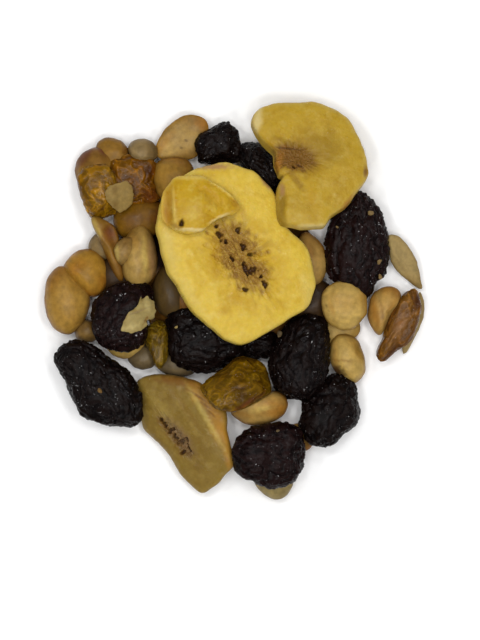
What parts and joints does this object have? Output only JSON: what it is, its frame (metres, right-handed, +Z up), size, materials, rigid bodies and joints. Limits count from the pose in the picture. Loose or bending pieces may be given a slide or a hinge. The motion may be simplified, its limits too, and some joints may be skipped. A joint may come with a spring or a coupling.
{
  "type": "heap of trail mix",
  "caption": "Loose heap of dried banana slices, dark and golden raisins, peanuts and seeds that lies on a flat surface as one food item.",
  "frame": {"origin": "point on the flat underside of the heap, which lies on Z = 0, close to the middle of its outline", "axes": "+Z up from the surface it lies on; +Y towards the edge that is uppermost in the picture, +X to the right of the picture"},
  "size_m": [0.0638, 0.0665, 0.0157],
  "materials": {
    "mixed_pieces": "uneven, from matt nuts to half glossy raisins",
    "banana": "matt, slightly waxy",
    "dark_raisin": "wrinkled, half glossy",
    "golden_raisin": "wrinkled, glossy, lets some light through",
    "nut": "smooth, half matt",
    "seed": "matt"
  },
  "bodies": {
    "root": {"mix_heap": "mixed_pieces", "banana_chip_centre": "banana", "banana_chip_back": "banana", "banana_chip_front": "banana", "banana_chip_scrap": "banana"}
  },
  "joints": []
}
